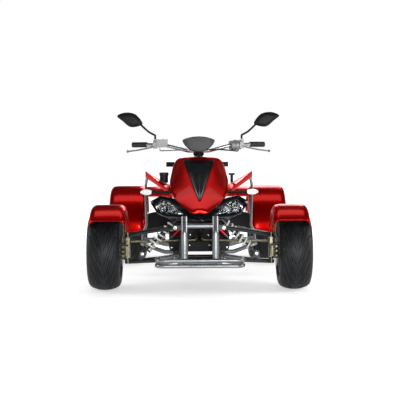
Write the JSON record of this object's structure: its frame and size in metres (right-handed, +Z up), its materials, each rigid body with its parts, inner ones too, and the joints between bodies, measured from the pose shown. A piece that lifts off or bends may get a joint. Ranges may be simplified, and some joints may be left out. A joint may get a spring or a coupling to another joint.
{
  "type": "road-going sports quad bike",
  "caption": "Road-going sports quad bike with tubular frame, double-wishbone front, chain-driven live rear axle, bar steering and faceted headlamps.",
  "frame": {"origin": "on the ground under the middle of the outline", "axes": "+Y to the rear, along the vehicle's length; +X to the rider's left; +Z up"},
  "size_m": [1.24, 1.93, 1.0019],
  "materials": {
    "red_plastic": "gloss",
    "black_plastic": "satin",
    "black_gloss": "gloss",
    "frame_paint": "satin",
    "bumper_paint": "gloss",
    "arm_paint": "satin",
    "zinc": "satin",
    "damper_steel": "satin",
    "spring_white": "gloss",
    "aluminium": "satin",
    "engine_metal": "matt",
    "stainless": "satin",
    "lens_clear": "gloss",
    "lens_red": "gloss",
    "lens_amber": "gloss",
    "vinyl": "matt",
    "tyre_rubber": "matt",
    "grip_rubber": "matt",
    "chain_steel": "satin"
  },
  "bodies": {
    "chassis": {"frame": "frame_paint", "skid_plate": "aluminium", "bumper": "bumper_paint", "suspension_arms": "arm_paint", "dampers": "damper_steel", "coil_springs": "spring_white", "nose_cowl": "red_plastic", "nose_shield": "black_gloss", "lamp_housing": "black_plastic", "headlamp_lenses": "lens_clear", "side_wings": "red_plastic", "tank_cover": "red_plastic", "seat": "vinyl", "tail_cowl": "red_plastic", "tail_lamp": "lens_red", "rear_fenders": "red_plastic", "engine": "engine_metal", "radiator": "aluminium", "exhaust": "stainless", "swing_arm": "arm_paint", "foot_pegs": "aluminium", "drive_chain": "chain_steel", "indicator_stalks": "black_plastic", "front_indicators": "lens_clear", "rear_indicators": "lens_amber", "wing_fittings": "black_plastic", "leg_guards": "arm_paint", "airbox": "black_plastic", "splash_panel": "black_plastic", "coolant_hoses": "grip_rubber", "rear_calliper": "zinc"},
    "steering": {"steering_stem": "frame_paint", "handlebar": "aluminium", "grips": "grip_rubber", "controls": "aluminium", "mirrors": "black_plastic", "instrument_pod": "black_plastic", "brake_hose": "stainless", "control_cables": "grip_rubber"},
    "knuckle_left_body": {"knuckle_left": "zinc", "calliper_left": "zinc", "front_fender_left": "red_plastic"},
    "knuckle_right_body": {"knuckle_right": "zinc", "calliper_right": "zinc", "front_fender_right": "red_plastic"},
    "tie_rod_left_body": {"tie_rod_left": "zinc"},
    "tie_rod_right_body": {"tie_rod_right": "zinc"},
    "front_wheel_left": {"front_tyre_left": "tyre_rubber", "front_rim_left": "aluminium", "front_hub_left": "stainless"},
    "front_wheel_right": {"front_tyre_right": "tyre_rubber", "front_rim_right": "aluminium", "front_hub_right": "stainless"},
    "rear_wheels": {"rear_axle": "stainless", "rear_rims": "aluminium", "rear_tyres": "tyre_rubber"}
  },
  "joints": [
    {"name": "steer", "type": "hinge", "parent": "chassis", "child": "steering", "pos_m": [0, -0.555, 0.312], "axis": [0, 0.4833, 0.8755], "range_deg": [-40, 40]},
    {"name": "kingpin_left", "type": "hinge", "parent": "chassis", "child": "knuckle_left_body", "pos_m": [0.404, -0.615, 0.22], "axis": [0, 0.134, 0.991], "range_deg": [-32, 32]},
    {"name": "tie_rod_pin_left", "type": "hinge", "parent": "knuckle_left_body", "child": "tie_rod_left_body", "pos_m": [0.404, -0.51862, 0.26112], "axis": [0, 0.134, 0.991], "range_deg": [-32, 32]},
    {"name": "front_wheel_spin_left", "type": "hinge", "parent": "knuckle_left_body", "child": "front_wheel_left", "pos_m": [0.53, -0.615, 0.22], "axis": [1, 0, 0], "continuous": true},
    {"name": "kingpin_right", "type": "hinge", "parent": "chassis", "child": "knuckle_right_body", "pos_m": [-0.404, -0.615, 0.22], "axis": [0, 0.134, 0.991], "range_deg": [-32, 32]},
    {"name": "tie_rod_pin_right", "type": "hinge", "parent": "knuckle_right_body", "child": "tie_rod_right_body", "pos_m": [-0.404, -0.51862, 0.26112], "axis": [0, 0.134, 0.991], "range_deg": [-32, 32]},
    {"name": "front_wheel_spin_right", "type": "hinge", "parent": "knuckle_right_body", "child": "front_wheel_right", "pos_m": [-0.53, -0.615, 0.22], "axis": [1, 0, 0], "continuous": true},
    {"name": "rear_axle_spin", "type": "hinge", "parent": "chassis", "child": "rear_wheels", "pos_m": [0, 0.675, 0.23], "axis": [1, 0, 0], "continuous": true}
  ],
  "couplings": [
    {"joint": "kingpin_left", "follows": "steer", "ratio": 0.7778},
    {"joint": "tie_rod_pin_left", "follows": "steer", "ratio": -0.7778},
    {"joint": "kingpin_right", "follows": "steer", "ratio": 0.7778},
    {"joint": "tie_rod_pin_right", "follows": "steer", "ratio": -0.7778}
  ]
}
